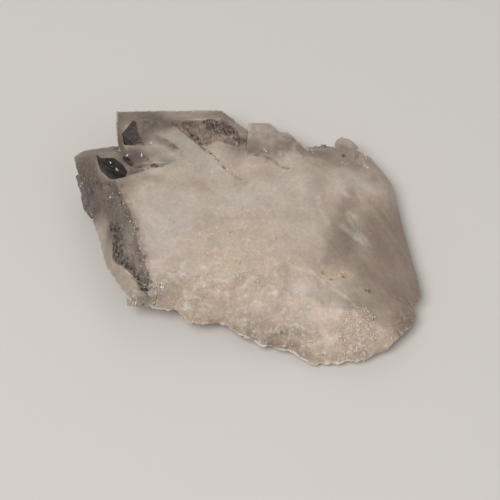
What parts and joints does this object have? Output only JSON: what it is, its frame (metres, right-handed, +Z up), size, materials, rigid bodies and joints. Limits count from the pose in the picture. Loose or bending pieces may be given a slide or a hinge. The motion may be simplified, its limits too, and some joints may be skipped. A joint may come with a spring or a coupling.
{
  "type": "sugar blade quartz cluster",
  "caption": "Slab of blade-shaped quartz crystals grown together, clear along two edges and milky and sugary elsewhere, lying flat.",
  "frame": {"origin": "on the surface it lies on, under the middle of its bounding box", "axes": "+X along the slab from the clear left blade to the smooth end, +Y to the clear back blade, +Z up"},
  "size_m": [0.067, 0.054, 0.012],
  "materials": {
    "milky_quartz": "milky and sugary, glassy and see-through at the left and back blades"
  },
  "bodies": {
    "root": {"quartz_cluster": "milky_quartz"}
  },
  "joints": []
}
